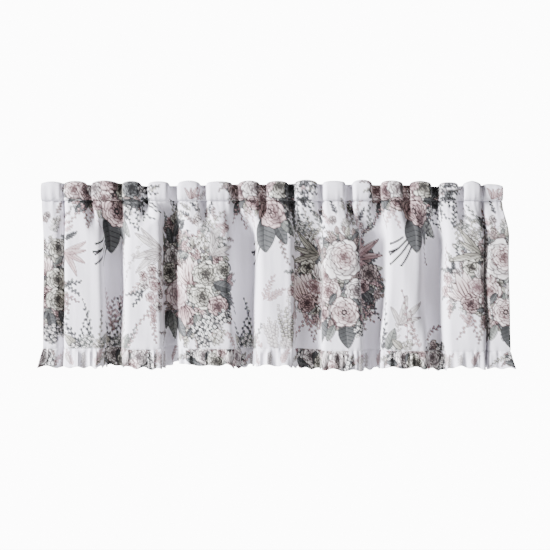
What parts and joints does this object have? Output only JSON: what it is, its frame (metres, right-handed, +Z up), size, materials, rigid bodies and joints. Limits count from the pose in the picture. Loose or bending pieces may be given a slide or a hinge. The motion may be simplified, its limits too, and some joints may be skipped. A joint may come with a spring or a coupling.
{
  "type": "window valance",
  "caption": "Straight gathered window valance with a rod pocket along the top, soft vertical folds and a gathered ruffle along the lower edge.",
  "frame": {"origin": "middle of the rod pocket: half way along its length, half way up its height and on the line of the rod", "axes": "+X to the right of a person who looks at the front, -Y out of the front of the cloth, +Z up"},
  "size_m": [1.1101, 0.0745, 0.4391],
  "materials": {
    "rod_pocket": "printed cotton, matte",
    "panel": "printed cotton, matte",
    "ruffle": "printed cotton, matte"
  },
  "bodies": {
    "root": {"rod_pocket": "rod_pocket", "panel": "panel", "ruffle": "ruffle"}
  },
  "joints": []
}
